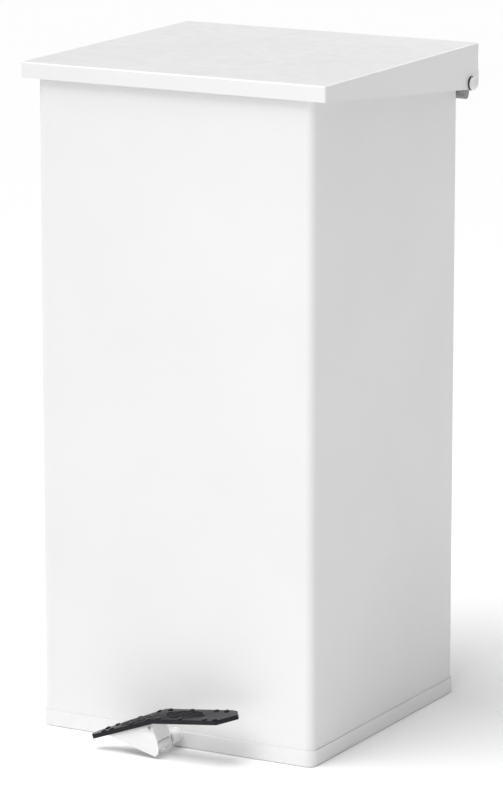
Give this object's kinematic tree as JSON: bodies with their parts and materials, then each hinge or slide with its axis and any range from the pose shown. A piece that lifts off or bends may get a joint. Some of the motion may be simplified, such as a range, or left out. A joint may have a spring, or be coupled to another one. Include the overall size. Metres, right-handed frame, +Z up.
{
  "type": "pedal bin",
  "caption": "Square free-standing pedal bin of folded sheet steel: wedge-skirted rear-hinged lid, rocker foot pedal, crank and lift rod, inner bucket with drop handles.",
  "frame": {"origin": "on the floor, below the middle of the whole bin's box (pedal and lid overhang included)", "axes": "+Z up, -Y towards the front with the pedal, +X to the right of a person facing the bin"},
  "size_m": [0.459, 0.4849, 0.878],
  "materials": {
    "white_paint": "satin powder coat on sheet steel",
    "galvanised": "zinc-coated sheet steel",
    "steel": "bright zinc-plated steel",
    "rubber": "moulded black rubber with ribs and cleats",
    "grey_plastic": "mid-grey moulded plastic",
    "dark_plastic": "dark grey moulded plastic",
    "white_plastic": "glossy white moulded plastic"
  },
  "bodies": {
    "cabinet": {"body_shell": "white_paint", "base_trim": "white_paint", "guide_rivet_lower_left": "white_paint", "guide_rivet_lower_right": "white_paint", "guide_rivet_upper_left": "white_paint", "guide_rivet_upper_right": "white_paint", "floor_panel": "galvanised", "rod_guide_lower": "galvanised", "rod_guide_upper": "galvanised", "bucket_wall": "galvanised", "bucket_floor": "galvanised", "handle_clip_left": "galvanised", "handle_clip_right": "galvanised", "foot_screw_front_left": "steel", "foot_screw_front_right": "steel", "foot_screw_rear_left": "steel", "foot_screw_rear_right": "steel", "hinge_bolt_left": "steel", "hinge_bolt_right": "steel", "block_screw_upper_left": "steel", "block_screw_lower_left": "steel", "block_screw_upper_right": "steel", "block_screw_lower_right": "steel", "lid_buffer_left": "rubber", "lid_buffer_right": "rubber", "rear_bearing": "grey_plastic", "hinge_block_left": "grey_plastic", "hinge_block_right": "grey_plastic", "foot_front_left": "dark_plastic", "foot_front_right": "dark_plastic", "foot_rear_left": "dark_plastic", "foot_rear_right": "dark_plastic", "front_bearing": "white_plastic", "cap_nut_left": "white_plastic", "cap_nut_right": "white_plastic"},
    "lid": {"lid_panel": "white_paint", "lid_stiffener": "white_paint", "lid_lever": "galvanised", "lever_pin": "steel", "lid_bush_left": "dark_plastic", "lid_bush_right": "dark_plastic"},
    "pedal": {"pedal_shaft": "steel", "pedal_bracket": "white_paint", "fold_pin": "steel", "pedal_plate": "steel", "pedal_pad": "rubber", "shaft_collar": "steel", "crank": "galvanised"},
    "lift_rod": {"lift_rod": "steel", "rod_head": "galvanised", "rod_foot": "galvanised", "rod_foot_pin": "steel"},
    "handle_left": {"bucket_handle_left": "steel"},
    "handle_right": {"bucket_handle_right": "steel"}
  },
  "joints": [
    {"name": "lid_hinge", "type": "hinge", "parent": "cabinet", "child": "lid", "pos_m": [0, 0.2195, 0.827], "axis": [-1, 0, 0], "range_deg": [0, 80]},
    {"name": "pedal_rock", "type": "hinge", "parent": "cabinet", "child": "pedal", "pos_m": [0.002, -0.2225, 0.015], "axis": [0, 1, 0], "range_deg": [0, 25]},
    {"name": "rod_lift", "type": "slide", "parent": "cabinet", "child": "lift_rod", "axis": [0, 0, 1], "range_m": [0, 0.04306]},
    {"name": "handle_left_swing", "type": "hinge", "parent": "cabinet", "child": "handle_left", "pos_m": [-0.168, 0.0045, 0.772], "axis": [0, -1, 0], "range_deg": [0, 170]},
    {"name": "handle_right_swing", "type": "hinge", "parent": "cabinet", "child": "handle_right", "pos_m": [0.168, 0.0045, 0.772], "axis": [0, 1, 0], "range_deg": [0, 170]}
  ],
  "couplings": [
    {"joint": "pedal_rock", "follows": "lid_hinge", "ratio": 0.3125},
    {"joint": "rod_lift", "follows": "lid_hinge", "m_per_rad": 0.030825}
  ]
}
